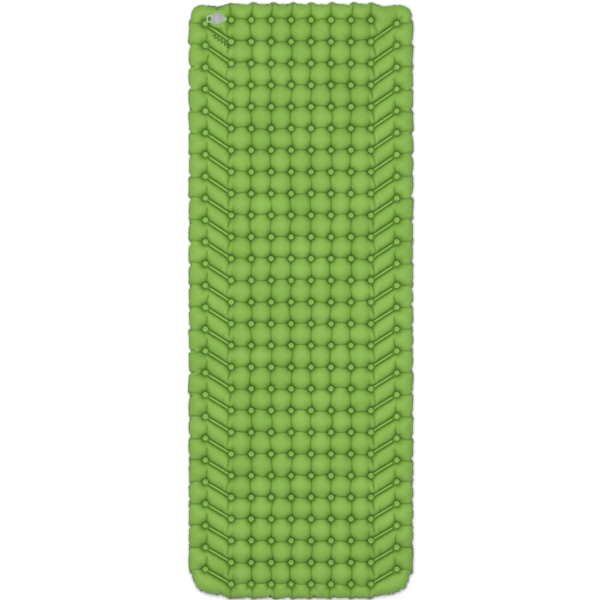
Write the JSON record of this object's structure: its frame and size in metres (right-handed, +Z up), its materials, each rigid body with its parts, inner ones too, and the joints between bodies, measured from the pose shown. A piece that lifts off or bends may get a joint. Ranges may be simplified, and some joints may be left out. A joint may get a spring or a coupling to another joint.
{
  "type": "inflatable sleeping pad",
  "caption": "Inflatable camping sleeping pad: two quilted fabric sheets fused along a seam and at a grid of weld dots, with a flat two-stage air valve in one head corner.",
  "frame": {"origin": "on the ground under the middle of the pad", "axes": "+Y along the pad to the head end, where the valve is, +X across the pad with the valve on the minus X side, +Z up through the thickness"},
  "size_m": [0.718, 1.9098, 0.064],
  "materials": {
    "pad_fabric_top": "matte coated ripstop, green",
    "pad_fabric_bottom": "matte coated taffeta, grey green",
    "valve_pale": "satin, slightly translucent",
    "valve_grey": "satin",
    "flap_silicone": "smooth"
  },
  "bodies": {
    "pad": {"top_sheet": "pad_fabric_top", "bottom_sheet": "pad_fabric_bottom", "valve_base": "valve_pale", "plug_tether": "valve_pale"},
    "release_plug": {"release_plug": "valve_pale", "cap_tether": "valve_grey", "flap_pin": "valve_grey"},
    "inflate_cap": {"inflate_cap": "valve_grey"},
    "check_flap": {"check_flap": "flap_silicone"}
  },
  "joints": [
    {"name": "plug_hinge", "type": "hinge", "parent": "pad", "child": "release_plug", "pos_m": [-0.2496, 0.899, 0.0603], "axis": [0, 1, 0], "range_deg": [0, 120]},
    {"name": "cap_hinge", "type": "hinge", "parent": "release_plug", "child": "inflate_cap", "pos_m": [-0.267, 0.914, 0.0624], "axis": [-1, 0, 0], "range_deg": [0, 150]},
    {"name": "flap_lift", "type": "slide", "parent": "release_plug", "child": "check_flap", "axis": [0, 0, -1], "range_m": [0, 0.0012], "stiffness_N_per_m": 20, "springref_m": -0.0005}
  ]
}
